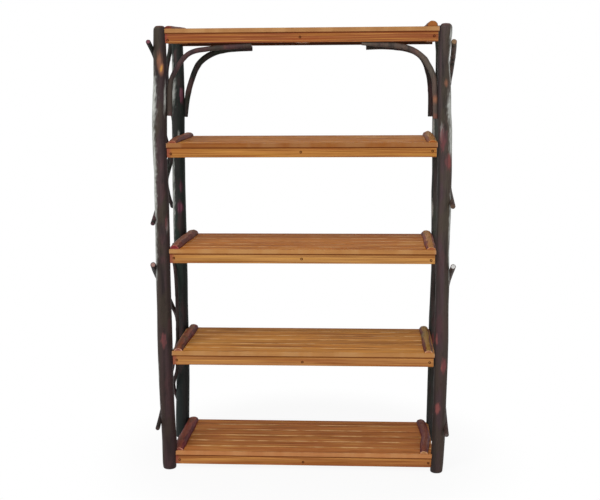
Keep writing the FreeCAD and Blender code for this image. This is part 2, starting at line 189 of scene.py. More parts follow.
def oak(name, seed, pale, deep, along="X", boards=None, seam=None, end=None, shade=None, edge=None, log_shade=None,
        back_tint=0.0):
    """Varnished oak with its grain along one axis. boards is (front edge, pitch) of a deck of slats, so that every
    slat has its own grain and tone, a painted glint along its front edge and painted shade along its back one, by the
    gap. seam is a height at which painted shade darkens the joint, end the distance from the middle at which the paler
    end grain starts, shade a depth in front of which painted shade darkens the board, edge the tint of a deck's front
    and back edges, log_shade the place of a left end that takes reddish painted shade from the log beside it, and
    back_tint how much a deck reddens towards its back."""
    paint = Paint(bpy.data.materials.new(name))
    place = paint.place()
    x, y, z = paint.axes(place)
    if boards:
        front, pitch = boards
        slat = paint.math("DIVIDE", paint.minus(y, front), pitch)
        number = paint.math("FLOOR", slat)
    else:
        number = paint.math("FLOOR", paint.times(y, 0.5))
    jump = paint.times(number, 1.37)
    grain = paint.shifted(place, paint.plus(jump, seed), paint.times(number, 0.61), seed * 0.7)
    turn = (lambda a, b: (a, b, b)) if along == "X" else (lambda a, b: (b, a, b))
    broad = paint.noise(grain, turn(1.5, 52.0), 3.0, 0.55, 0.4)
    streak = paint.noise(grain, turn(3.1, 170.0), 3.0, 0.6, 0.3)
    values = {"Vector": paint.stretched(grain, turn(1.1, 24.0)), "Scale": 1.0, "Distortion": 7.0, "Detail": 3.0,
              "Detail Scale": 1.2}
    rings = paint.add("TexWave", values, 1, wave_type="BANDS", bands_direction="Y" if along == "X" else "X")
    pores = paint.noise(grain, turn(24.0, 900.0), 2.0, 0.6)
    flow = paint.plus(paint.times(broad, 0.55), paint.plus(paint.times(streak, 0.30), paint.times(rings, 0.15)))
    colour = paint.ramp(flow, (0.30, deep), (0.50, pale), (0.62, pale), (0.76, deep))
    tone = paint.add("TexWhiteNoise", {"W": paint.plus(number, seed)}, 0, noise_dimensions="1D")
    colour = paint.mix(1.0, colour, paint.grey(paint.spread(tone, 0.0, 1.0, 0.90, 1.10)), "MULTIPLY")
    ochre = paint.noise(grain, turn(2.3, 95.0), 2.0)
    colour = paint.tinted(colour, OCHRE_GRAIN, ochre, 0.50, 0.70, 0.0, 0.45)
    red = paint.noise(paint.shifted(grain, 4.0, 2.0, 1.0), turn(2.6, 70.0), 2.0)
    colour = paint.tinted(colour, RED_GRAIN, red, 0.50, 0.72, 0.0, 0.55)
    lines = paint.noise(paint.shifted(grain, 1.0, 5.0, 3.0), turn(2.0, 210.0), 3.0, 0.6, 0.5)
    colour = paint.tinted(colour, DARK_LINES, lines, 0.52, 0.67, 0.0, 0.64)
    colour = paint.tinted(colour, PALE_LINES, lines, 0.33, 0.48, 0.54, 0.0)
    if boards:
        bands = paint.noise(paint.shifted(grain, 2.0, 7.0, 5.0), (4.0, 30.0, 30.0), 3.0, 0.6)
        colour = paint.tinted(colour, DARK_BANDS, bands, 0.51, 0.67, 0.0, 0.42)
        colour = paint.tinted(colour, PALE_BANDS, bands, 0.33, 0.49, 0.40, 0.0)
        if back_tint:
            colour = paint.tinted(colour, RED_BACK, y, 0.0, -front, 0.0, back_tint)
        share = paint.minus(slat, number)
        # A painted glint along the front edge of every slat
        glint = paint.spread(paint.noise(grain, (12.0, 0.1, 0.1), 3.0), 0.40, 0.64, 0.15, 0.78)
        glint = paint.times(glint, paint.spread(share, 0.06, 0.13, 1.0, 0.0))
        colour = paint.mix(glint, colour, SLAT_GLINT)
        # Painted shade along the back edge of every slat, by the gap to the next
        colour = paint.tinted(colour, SLAT_BACK_SHADE, share, 0.82, 0.95, 0.0, 0.45)
        outer = paint.math("ABSOLUTE", y)
        colour = paint.tinted(colour, edge, outer, -front - 2.5 * MM, -front - 1.0 * MM, 0.0, 0.8)
    dark_pore = paint.spread(pores, 0.60, 0.78, 0.0, 0.40)
    colour = paint.mix(dark_pore, colour, PORES)
    if end is not None:
        colour = paint.tinted(colour, END_TINT, paint.math("ABSOLUTE", x), end, end + END_WIDTH, 0.0, 0.45)
    # Reddish painted shade from the log on the left end of an apron
    if log_shade is not None:
        colour = paint.tinted(colour, RED_LOG_SHADE, x, log_shade + 4 * MM, log_shade + 24 * MM, 0.65, 0.0)
    # Painted shade along the joint between the slats and the apron
    if seam is not None:
        off = paint.math("ABSOLUTE", paint.minus(z, seam))
        colour = paint.tinted(colour, JOINT_SHADE, off, 1.2 * MM, 4.2 * MM, 0.85, 0.0)
    # Painted shade on the inner face of the back apron, under the slats
    if shade is not None:
        colour = paint.tinted(colour, UNDERSIDE_SHADE, y, shade, shade + 3 * MM, 0.85, 0.0)
    height = paint.minus(paint.times(flow, 0.8), paint.times(dark_pore, 0.8))
    rough = paint.spread(flow, 0.3, 0.7, 0.58, 0.48)
    return paint.done(colour, rough, height, 0.3 * MM, 0.02)


def bark(name, seed, dark, mid, warm, olive, peel, ridge=1.0, bands=None, foot=FOOT_TINT):
    """Thin dark bark with long strips of tint. The mesh's painted values bring painted highlights (the pale value),
    peeled places, knots and sawn ends. peel has three tints of bare wood, then two of a sawn end. ridge is the share of
    the full bump, bands is (X of the log's middle, its radius, tint of its left flank, tint of its right flank),
    painted light and shade that make the outer flank lighter and the inner one darker, and foot the tint near the
    floor."""
    paint = Paint(bpy.data.materials.new(name))
    x, _, z = paint.axes(paint.place())
    place = paint.shifted(paint.place(), seed, seed * 1.3, seed * 0.6)
    strips = paint.noise(place, (42.0, 42.0, 2.2), 4.0, 0.55, 0.3)
    cloud = paint.noise(place, (13.0, 13.0, 6.0), 3.0)
    blush = paint.noise(paint.shifted(place, 5.0, 3.0, 1.0), (17.0, 17.0, 7.0), 3.0)
    fibre = paint.noise(place, (210.0, 210.0, 24.0), 3.0, 0.6)
    speck = paint.noise(place, (420.0, 420.0, 300.0), 2.0, 0.6)
    colour = paint.ramp(strips, (0.34, dark), (0.47, mid), (0.58, warm), (0.72, mid))
    colour = paint.tinted(colour, olive, cloud, 0.47, 0.64, 0.0, 0.75)
    colour = paint.tinted(colour, BLUSH, blush, 0.54, 0.68, 0.0, 0.55)
    # Painted light and shade across the log: its outer flank lighter, its inner flank darker
    if bands:
        middle, radius, left, right = bands
        across = paint.math("DIVIDE", paint.minus(x, middle), radius)
        across = paint.plus(across, paint.times(paint.minus(strips, 0.5), 1.2))
        colour = paint.tinted(colour, left, across, -0.75, -0.25, 0.65, 0.0)
        colour = paint.tinted(colour, right, across, 0.20, 0.75, 0.0, 0.65)
    colour = paint.tinted(colour, foot, z, 0.15, 1.25, 0.38, 0.0)
    colour = paint.tinted(colour, dark, fibre, 0.54, 0.72, 0.0, 0.5)
    colour = paint.tinted(colour, SPECKS, speck, 0.66, 0.80, 0.0, 0.4)
    # Painted highlights: pale strips of reflected light where the pale value is set
    highlight = paint.times(paint.painted("pale"), paint.spread(fibre, 0.36, 0.66, 1.0, 0.55))
    colour = paint.mix(highlight, colour, BARK_HIGHLIGHT)
    bare = paint.painted("peel")
    ragged = paint.times(paint.minus(paint.plus(fibre, cloud), 1.0), 0.7)
    torn = paint.spread(paint.plus(bare, ragged), 0.12, 0.80, 0.0, 0.92)
    bare_colour = paint.ramp(strips, (0.38, peel[0]), (0.5, peel[1]), (0.62, peel[2]))
    colour = paint.mix(paint.times(torn, paint.spread(bare, 0.02, 0.25)), colour, bare_colour)
    knot = paint.painted("knot")
    rough_knot = paint.plus(knot, paint.times(paint.minus(fibre, 0.5), 0.5))
    soft = paint.times(paint.spread(rough_knot, 0.05, 0.75, 0.0, 0.9), paint.spread(knot, 0.02, 0.2))
    colour = paint.mix(soft, colour, KNOT_HALO)
    colour = paint.tinted(colour, KNOT_HEART, rough_knot, 0.62, 1.0)
    growth = paint.math("SINE", paint.times(paint.painted("core"), 34.0))
    sawn_colour = paint.tinted(peel[3], peel[4], growth, -1.0, 1.0)
    sawn_colour = paint.tinted(sawn_colour, peel[0], speck, 0.55, 0.75, 0.0, 0.5)
    colour = paint.mix(paint.painted("sawn"), colour, sawn_colour)
    height = paint.minus(paint.plus(fibre, paint.times(strips, 0.8)), paint.times(torn, 0.5))
    rough = paint.spread(fibre, 0.3, 0.7, 0.48, 0.66)
    return paint.done(colour, rough, height, 0.7 * MM * ridge, 0.12)


def split(name, seed, flank, crest, warm, olive, sawn):
    """Bark and bare wood of a split rail: darker flanks, partly painted shade, a paler crest that is partly worn bark
    and partly painted light on the top, and tints that change along the rail. sawn has the tints of the inside and the
    rim of its ends."""
    paint = Paint(bpy.data.materials.new(name))
    place = paint.shifted(paint.place(), seed * 0.3, seed, seed * 0.7)
    strips = paint.noise(place, (95.0, 9.0, 95.0), 4.0, 0.6, 0.4)
    along = paint.noise(place, (8.0, 13.0, 8.0), 2.0)
    patch = paint.noise(paint.shifted(place, 3.0, 1.0, 2.0), (20.0, 9.0, 20.0), 2.0)
    fibre = paint.noise(place, (380.0, 40.0, 380.0), 3.0, 0.6)
    colour = paint.tinted(flank, warm, along, 0.42, 0.60)
    bare = paint.plus(paint.painted("peel"), paint.times(paint.minus(strips, 0.5), 1.4))
    # The paler crest: partly worn bark, partly painted light on the top of the rail
    colour = paint.tinted(colour, crest, bare, 0.30, 0.85, 0.0, 0.9)
    colour = paint.tinted(colour, olive, patch, 0.54, 0.68, 0.0, 0.75)
    colour = paint.tinted(colour, SPLIT_FIBRES, fibre, 0.52, 0.72, 0.0, 0.45)
    rim = paint.spread(paint.plus(paint.painted("core"), paint.times(fibre, 0.3)), 0.70, 1.05)
    colour = paint.mix(paint.painted("sawn"), colour, paint.mix(rim, sawn[0], sawn[1]))
    height = paint.plus(fibre, strips)
    rough = paint.spread(fibre, 0.3, 0.7, 0.5, 0.68)
    return paint.done(colour, rough, height, 0.6 * MM, 0.10)


# Meshes

def rough_field(points, scale, seed):
    """Smooth noise from -1 to 1 at each point of an array, with its own scale along each axis."""
    spots = points.reshape(-1, 3) * np.array(scale) + seed * 7.31
    return np.array([noise.noise(Vector(spot)) for spot in spots]).reshape(points.shape[:-1])


def placed(name, data):
    """A new object in the scene."""
    thing = bpy.data.objects.new(name, data)
    bpy.context.scene.collection.objects.link(thing)
    return thing


def new_piece(name, points, faces, material):
    """A smooth mesh as a piece of the stand's one body."""
    mesh = bpy.data.meshes.new(name)
    mesh.from_pydata(points, [], faces)
    mesh.polygons.foreach_set("use_smooth", [True] * len(mesh.polygons))
    mesh.materials.append(material)
    mesh.update()
    piece = placed(name, mesh)
    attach(piece, "root")
    return piece


def skin(name, rings, painted, material, node):
    """A closed mesh through rings of points, all of one length, with a face at the first and last ring. It replaces a
    node of the CAD model, and keeps its painted values as attributes."""
    count, around = rings.shape[:2]
    index = np.arange(count * around).reshape(count, around)
    ahead = np.roll(index, -1, axis=1)
    quads = np.stack([index[:-1], ahead[:-1], ahead[1:], index[1:]], axis=-1).reshape(-1, 4)
    faces = quads.tolist() + [index[0][::-1].tolist(), index[-1].tolist()]
    piece = new_piece(name, rings.reshape(-1, 3).tolist(), faces, material)
    for key, values in painted.items():
        layer = piece.data.attributes.new(key, "FLOAT", "POINT")
        layer.data.foreach_set("value", np.asarray(values, np.float32).ravel())
    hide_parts(node)


def smooth(value, start, full):
    """0 at start and before it, 1 at full and beyond it, and a soft step between them."""
    t = np.clip((value - start) / (full - start), 0, 1)
    return t * t * (3 - 2 * t)


def run_to(points):
    """Distance along a line to each of its points."""
    return np.concatenate([[0], np.cumsum(np.linalg.norm(np.diff(points, axis=0), axis=1))])


# Rings on the face of a sawn end, as shares of its radius, and on its rounded rim
FACE_RINGS = (0.03, 0.35, 0.65)
RIM_RINGS = 5
# Shares of the radius between which the bark gives way to a sawn end
LOG_FACE, STICK_FACE, RAIL_FACE = (0.92, 0.62), (0.86, 0.78), (0.95, 0.90)


def rounded_ends(length, radius, start_round, end_round, step):
    """Distances along a stick and the share of its radius there, from the middle of one sawn end to the other."""
    turn = np.linspace(0, math.pi / 2, RIM_RINGS)

    def rim(size):
        return [(size * (1 - math.cos(a)), 1 - size / radius * (1 - math.sin(a))) for a in turn]

    first = [(0, share) for share in FACE_RINGS] + rim(start_round)
    last = [(length - s, share) for s, share in rim(end_round)[::-1]]
    last += [(length, share) for share in FACE_RINGS[::-1]]
    inner = np.arange(start_round + step, length - end_round - step / 2, step)
    stations = first + [(s, 1.0) for s in inner] + last
    return np.array([s for s, _ in stations]), np.array([share for _, share in stations])


LOG_AROUND = 48
LOG_STEP = 8 * MM
FOOT_ROUND = 6 * MM
TOP_ROUND = 13 * MM
TOP_CROWN = 4 * MM
# Relief of the bark: slow swelling as a share of the radius, and heights of ridges, knots and peeled places
LOG_SWELL = 0.022
LOG_RIDGE = 0.55 * MM
KNOT_RISE = 1.6 * MM
PEEL_DEPTH = 0.5 * MM
# Noise of swelling, ridges and torn rims: its scale across the log, twice, and along it
SWELL_SCALE, RIDGE_SCALE, TORN_SCALE = (0.8, 0.8, 5.0), (5.0, 5.0, 9.0), (6.0, 6.0, 70.0)
# Share of the noise that frays a knot, strength of the painted highlights, uneven growth rings, and how bare
# the sawn ends are
KNOT_FRAY = 0.4
HIGHLIGHT_GAIN = 1.6
RING_WAVE = 0.05
LOG_SAWN = 0.75

# Profile: height, share of the CAD radius and sideways lean, read along the logs of the photograph. Knots, peeled
# places and painted highlights (pale strips of reflected light, mostly along the logs' edges): height, angle from the
# front towards +X in degrees, half height, half width, and a strength where it isn't 1. Lengths in millimetres.
LOGS = {
    "post_front_left": {
        "profile": (
            (0, 0.95, -1), (25, 1.0, -2), (85, 1.06, 0), (121, 1.07, 0.5), (160, 1.04, -1.5), (279, 1.05, -4.5),
            (383, 1.07, -6), (555, 1.08, -6), (700, 1.05, -5), (808, 1.05, -5), (1007, 1.03, -2.5), (1171, 1.03, -2),
            (1252, 0.98, -1.5), (1292, 0.98, -3.5), (1380, 1.03, -3), (1470, 1.04, -0.8), (1560, 1.01, 3.5),
            (1618, 0.97, 7.5), (1680, 0.94, 8.5), (1742, 0.89, 8.5), (1796, 0.85, 9.5), (1829, 0.83, 10)),
        "knots": ((1690, 4, 56, 19, 0.66), (1664, 18, 36, 15)),
        "peels": ((562, -2, 48, 15), (1052, 46, 42, 9)),
        "highlights": ((1530, -58, 130, 20), (1330, -60, 200, 18), (1120, -62, 250, 16), (900, -64, 130, 12),
                  (1545, 54, 70, 7, 0.6), (1040, 50, 30, 6, 0.55), (420, -66, 60, 7)),
        "seed": 1},
    "post_front_right": {
        "profile": (
            (0, 0.95, -6.5), (33, 0.99, -4.5), (85, 1.0, -2), (137, 1.0, 0.4), (344, 1.01, 4), (446, 1.03, 6),
            (564, 1.06, 7), (715, 1.04, 5.7), (814, 1.05, 7.5), (929, 1.02, 4.8), (1010, 1.04, 6.4), (1091, 1.06, 8),
            (1250, 1.07, 8.8), (1416, 1.05, 7.5), (1487, 1.01, 3.5), (1549, 1.0, 2.8), (1611, 0.94, 1.3),
            (1690, 0.88, -3), (1750, 0.90, 1), (1790, 0.91, 5), (1829, 0.90, 5.3)),
        "knots": ((1600, 14, 22, 12, 0.62),),
        "peels": ((462, 22, 46, 17), (280, -22, 30, 16), (1294, 38, 46, 22), (1385, -18, 60, 20), (573, -50, 30, 10)),
        "highlights": ((1500, 60, 90, 18), (1390, 64, 80, 16), (1340, 62, 40, 14), (1680, 70, 105, 9), (1775, 62, 50, 12),
                  (1060, 60, 120, 7), (1408, -30, 36, 8, 0.75), (900, 66, 110, 6)),
        "seed": 2},
    "post_back_left": {
        "profile": (
            (0, 1.08, -10), (95, 1.06, -9), (152, 1.05, -7), (266, 1.04, -2.5), (450, 1.0, 1), (620, 0.98, 1),
            (728, 0.98, 3), (990, 1.0, 3), (1166, 0.98, 3.5), (1260, 0.97, 5), (1393, 0.97, 7.5), (1470, 0.97, 9),
            (1574, 0.92, 12.5), (1676, 0.90, 13), (1744, 0.84, 13), (1829, 0.82, 12)),
        "knots": (),
        "peels": ((1060, 14, 40, 21, 0.95), (1150, 30, 44, 17, 0.55), (1545, 42, 46, 16)),
        "highlights": ((1565, -58, 85, 22), (1660, -60, 60, 12), (1150, -64, 230, 17), (800, -60, 20, 6), (330, -66, 60, 6),
                  (1372, 12, 22, 5)),
        "seed": 3},
    "post_back_right": {
        "profile": (
            (0, 0.95, -2.5), (110, 0.96, -2), (333, 0.95, 1), (571, 0.94, 2.5), (640, 0.93, 5), (787, 0.92, 9),
            (990, 0.94, 7), (1122, 0.95, 5.5), (1210, 0.95, 7.5), (1390, 0.95, 5), (1470, 0.94, 5), (1560, 0.92, 9),
            (1640, 0.88, 14), (1720, 0.87, 14), (1770, 0.88, 10), (1829, 0.88, 7)),
        "knots": (),
        "peels": ((1500, -38, 30, 7), (1580, -36, 16, 6), (471, -22, 34, 14)),
        "highlights": ((1390, -56, 60, 9), (1050, -62, 40, 7)),
        "seed": 4},
}


# How far the noise shifts the rim of a painted place, and where the place ends, both as shares of its half size
RIM_RAGGED = 0.45
RIM_REACH = 1.25


def patches(spots, z, turn, radius, field):
    """Painted value of some spots: their strength in the middle, falling to 0 around it with a ragged rim."""
    value = np.zeros(z.shape)
    for height, angle, tall, wide, *strength in spots:
        off = (turn - math.radians(angle) + math.pi) % (2 * math.pi) - math.pi
        far = np.hypot((z - height * MM) / (tall * MM), off * radius / (wide * MM))
        value = np.maximum(value, (strength or [1.0])[0] * (1 - smooth(far + RIM_RAGGED * field, 0.0, RIM_REACH)))
    return value


def log(node):
    """An upright log with its bark, sawn flat at the foot and domed at the top."""
    facts = LOGS[node]
    low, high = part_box(node)
    radius = (high.y - low.y) / 2
    middle = (low + high) / 2
    height = high.z
    along, share = rounded_ends(height - TOP_CROWN, radius, FOOT_ROUND, TOP_ROUND, LOG_STEP)
    crown = np.where(along > height / 2, TOP_CROWN * (1 - share**2), 0)
    turn = np.linspace(0, 2 * math.pi, LOG_AROUND, endpoint=False)
    z = np.repeat(along[:, None], LOG_AROUND, axis=1)
    around = np.repeat(turn[None, :], len(along), axis=0)
    heights, girths, leans = [np.array(row) for row in zip(*facts["profile"])]
    girth = np.interp(z / MM, heights, girths)
    lean = np.interp(z / MM, heights, leans) * MM
    unit = np.stack([np.sin(around), -np.cos(around), z], axis=-1)
    swell = rough_field(unit, SWELL_SCALE, facts["seed"])
    ridge = rough_field(unit, RIDGE_SCALE, facts["seed"] + 11)
    torn = rough_field(unit, TORN_SCALE, facts["seed"] + 23)
    knot = patches(facts["knots"], z, around, radius, torn * KNOT_FRAY)
    peel = patches(facts["peels"], z, around, radius, torn)
    # Painted highlights: pale strips of reflected light, mostly along the logs' edges
    pale = np.minimum(HIGHLIGHT_GAIN * patches(facts["highlights"], z, around, radius, torn), 1)
    reach = radius * girth * (1 + LOG_SWELL * swell) + LOG_RIDGE * ridge + KNOT_RISE * knot - PEEL_DEPTH * peel
    reach = reach * share[:, None]
    x = middle.x + lean + reach * np.sin(around)
    y = middle.y - reach * np.cos(around)
    rings = np.stack([x, y, z + crown[:, None]], axis=-1)
    inner = np.repeat(share[:, None], LOG_AROUND, axis=1)
    painted = {"peel": peel, "knot": knot, "pale": pale, "core": inner * (1 + RING_WAVE * torn),
               "sawn": smooth(inner, *LOG_FACE) * LOG_SAWN}
    skin(f"log_{node}", rings, painted, paints[node.replace("post", "bark")], node)


STICK_AROUND = 16
BUD_RISE = 0.9 * MM
BUD_LENGTH = 7 * MM
# Lumps as a share of the radius, with the scale of their noise around the stick and its run along the stick
STICK_LUMP = 0.05
LUMP_SCALE = (1.2, 1.2, 1.2)
LUMP_RUN = np.array([6.0, 9.0, 4.0])
# Peeled places that come by chance: strength, scale of their noise, and its values where they start and are full
STICK_PEEL = 0.4
PEEL_SCALE = (30.0, 30.0, 12.0)
PEEL_LEVELS = (0.35, 0.7)
# A spot fades along the stick up to this share of its half length, and around it from front to side, with a ragged rim
SPOT_REACH = 1.3
SPOT_SIDE = (-0.3, 0.6)
SPOT_RAGGED = 0.4


def stick(node, centres, side, radii, material, seed, buds, ends, sawn_round, spots=()):
    """A round stick along points close to one plane, whose normal is side. radii gives its thickness at each point,
    buds the shares of its length with a swollen ring, ends how bare its two sawn ends are, sawn_round how far their
    rims are rounded, and spots the knots and peeled places on its front: painted value, share of the length, half
    length in millimetres and strength."""
    run = run_to(centres)
    length = run[-1]
    along, share = rounded_ends(length, radii.min(), sawn_round, sawn_round, length / (len(centres) - 1))
    spine = np.stack([np.interp(along, run, centres[:, k]) for k in range(3)], axis=-1)
    forward = np.stack([np.interp(along, run, np.gradient(centres[:, k], run)) for k in range(3)], axis=-1)
    forward /= np.linalg.norm(forward, axis=1)[:, None]
    out = np.cross(forward, side)
    thick = np.interp(along, run, radii)
    for bud in buds:
        thick = thick + BUD_RISE * np.exp(-((along - bud * length) / BUD_LENGTH) ** 2)
    turn = np.linspace(0, 2 * math.pi, STICK_AROUND, endpoint=False)
    cos, sin = np.cos(turn)[None, :, None], np.sin(turn)[None, :, None]
    unit = out[:, None, :] * cos + np.array(side)[None, None, :] * sin
    lump = rough_field(unit + along[:, None, None] * LUMP_RUN, LUMP_SCALE, seed)
    reach = thick[:, None] * share[:, None] * (1 + STICK_LUMP * lump)
    rings = spine[:, None, :] + unit * reach[:, :, None]
    inner = np.repeat(share[:, None], STICK_AROUND, axis=1)
    bare = np.where(along < length / 2, ends[0], ends[1])[:, None]
    # Sticks carry no painted highlights (the pale value), and knots only where their spots put them
    painted = {key: np.zeros(inner.shape) for key in ("knot", "pale")}
    painted["peel"] = STICK_PEEL * smooth(rough_field(rings, PEEL_SCALE, seed + 5), *PEEL_LEVELS)
    painted["core"] = inner
    painted["sawn"] = smooth(inner, *STICK_FACE) * bare
    for key, place, half, strength in spots:
        near = strength * (1 - smooth(np.abs(along - place * length) / (half * MM), 0.0, SPOT_REACH))
        ahead = smooth(-unit[:, :, 1] + SPOT_RAGGED * lump, *SPOT_SIDE)
        painted[key] = np.maximum(painted[key], near[:, None] * ahead)
    skin(f"{node}_bark", rings, painted, material, node)


# Bowed twigs: a belly arc and two flatter arcs, as in the CAD model
TWIG_STEPS = 90
TWIG_RADIUS = {"left": 7.2 * MM, "right": 9.2 * MM}
TWIG_BEND = {"front": 132 * MM, "back": 350 * MM}
TWIG_SWEEP = {"front": 900 * MM, "back": 700 * MM}
TWIG_SLANT = {"front": 0.0, "back": math.radians(13.2)}
TWIG_REACH = {"front": 480 * MM, "back": 185 * MM / math.cos(TWIG_SLANT["back"])}
# The height of a bow with its tips in front shrinks by this share at the belly, so that its tips stand up steeper
TWIG_DRAW = 0.12
TWIG_BUDS = (0.13, 0.31, 0.52, 0.70, 0.88)
# Uneven thickness as a share of the radius, how often it changes along a twig, and how late a twig thickens
TWIG_WAVE = 0.04
WAVE_COUNT = 7
GIRTH_POWER = 1.5
# Points of a twig over which a crook is rounded off
CROOK = 9
TWIG_SAWN_ROUND = 1.5 * MM

# Heights of a twig's upper and lower tips and how far its middle sags; its thickness at the lower tip, the belly and
# the upper tip as shares of the CAD radius; and how far it leans sideways on its crooked way: height and distance
# towards +X. Lengths in millimetres.
TWIGS = {
    ("left", "upper", "front"): (1767, 1050, 22, (1.25, 1.15, 1.3), (
        (1050, 5), (1120, 3), (1200, -1), (1245, 1), (1280, 8), (1320, 17), (1412, 18), (1480, 17), (1540, 7),
        (1600, 4), (1650, 9), (1690, 13), (1716, 14), (1740, 12), (1767, 9))),
    ("left", "upper", "back"): (1767, 1050, 0, (1.2, 1.0, 1.5), (
        (1050, 13), (1083, 1), (1110, -6), (1135, -12), (1185, -18), (1217, -8), (1250, -1), (1275, 9), (1330, -6),
        (1385, -22), (1480, -22), (1520, -9), (1560, 0), (1610, -3), (1643, -4), (1694, 7), (1740, 22), (1767, 25))),
    ("left", "lower", "front"): (883, 190, 36, (1.25, 1.3, 1.55), (
        (190, -2), (260, -3), (330, 0), (420, 8), (480, 12), (560, 10), (620, 0), (680, -5), (760, -8), (814, -9.5),
        (850, -6), (883, 2))),
    ("left", "lower", "back"): (883, 162, 0, (1.3, 1.0, 1.1), (
        (162, 12), (177, 9), (202, -2), (228, -7), (250, -13), (277, -9), (302, -2), (337, 6), (400, 6), (520, 8),
        (650, 12), (760, 12), (825, 8), (883, 14))),
    ("right", "upper", "front"): (1758, 1120, 22, (1.1, 0.95, 1.18), (
        (1120, 4), (1170, -1), (1250, -4), (1440, 0), (1600, 4), (1650, 5), (1690, 4), (1735, 1), (1758, -4))),
    ("right", "upper", "back"): (1758, 1120, 0, (1.0, 0.9, 1.0), ((1120, 0), (1300, -4), (1500, 3), (1758, 0))),
    ("right", "lower", "front"): (880, 178, 22, (1.05, 0.95, 1.15), (
        (178, -6), (300, -8), (420, -4), (535, 0), (800, 4), (880, 9))),
    ("right", "lower", "back"): (880, 178, 0, (1.0, 0.9, 1.0), ((178, 0), (400, 3), (600, -4), (880, 0))),
}
# How bare the sawn tips are, lower tip first: some are as dark as the bark
TWIG_TIPS = {("left", "upper"): (0.25, 0.7), ("left", "lower"): (0.1, 0.85), ("right", "upper"): (0.15, 0.6),
             ("right", "lower"): (0.1, 1.0)}


def eased(values):
    """The values with their corners rounded off."""
    weights = np.hanning(CROOK + 2)[1:-1]
    return np.convolve(np.pad(values, CROOK // 2, mode="edge"), weights / weights.sum(), mode="valid")


def bow(reach, half, bend, sweep):
    """Points of a bow in its own plane: distance from the belly towards the tips, and height."""
    aim = (bend - reach, half)
    far = math.hypot(*aim)
    along = (far**2 + (bend - sweep) ** 2 - sweep**2) / (2 * (bend - sweep))
    joint = math.atan2(aim[1], aim[0]) - math.acos(along / far)
    tip = math.atan2(aim[1] + (sweep - bend) * math.sin(joint), aim[0] + (sweep - bend) * math.cos(joint))
    belly_run = bend * joint
    half_run = belly_run + sweep * (tip - joint)
    run = np.linspace(-half_run, half_run, TWIG_STEPS)
    off = np.abs(run)
    angle = np.where(off <= belly_run, off / bend, joint + (off - belly_run) / sweep)
    radius = np.where(off <= belly_run, bend, sweep)
    across = -bend + (bend - radius) * math.cos(joint) + radius * np.cos(angle)
    rise = (bend - radius) * math.sin(joint) + radius * np.sin(angle)
    return np.stack([-across, np.copysign(rise, run)], axis=-1)


def twig(side, panel, row, seed):
    """A bowed twig on the outside of the logs, crooked on its way and thicker towards its tips."""
    node = f"twig_{side}_{panel}_{row}"
    low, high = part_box(node)
    sign = SIDES[side]
    thick = TWIG_RADIUS[side]
    top, foot, sag, (foot_girth, belly_girth, top_girth), leans = TWIGS[side, panel, row]
    slant = TWIG_SLANT[row]
    flat = bow(TWIG_REACH[row], (top - foot) / 2 * MM, TWIG_BEND[row], TWIG_SWEEP[row])
    share = np.linspace(0, 1, TWIG_STEPS)
    if row == "front":
        flat[:, 1] *= 1 - TWIG_DRAW * (1 - (flat[:, 0] / TWIG_REACH[row]) ** 2)
        belly_x, belly_y = (low.x + high.x) / 2, high.y - thick
    else:
        belly_x, belly_y = high.x - thick if sign < 0 else low.x + thick, low.y + thick
    flat[:, 1] -= sag * MM * np.sin(math.pi * share)
    direction = np.array([sign * math.sin(slant), ROWS[row] * math.cos(slant), 0])
    middle = np.array([belly_x, belly_y, (top + foot) / 2 * MM])
    centres = middle + flat[:, :1] * direction + flat[:, 1:] * UP
    centres[:, 0] += eased(np.interp(centres[:, 2] / MM, *zip(*leans))) * MM
    across = np.cross(direction, UP)
    tip_girth = np.where(share < 0.5, foot_girth, top_girth)
    swell = belly_girth + (tip_girth - belly_girth) * np.abs(2 * share - 1) ** GIRTH_POWER
    wave = rough_field(np.stack([share * WAVE_COUNT, share * 0, share * 0 + seed], axis=-1), (1, 1, 1), seed)
    radii = thick * (swell + TWIG_WAVE * wave)
    stick(node, centres, across, radii, paints[f"twig_{side}_{panel}"], seed, TWIG_BUDS, TWIG_TIPS[side, panel],
          TWIG_SAWN_ROUND)


BRACKET_RADIUS = 10 * MM
BRACKET_STEPS = 60
BRACKET_BUDS = (0.22, 0.47, 0.74)
BRACKET_ENDS = (0.5, 0.5)
BRACKET_SAWN_ROUND = 1.2 * MM

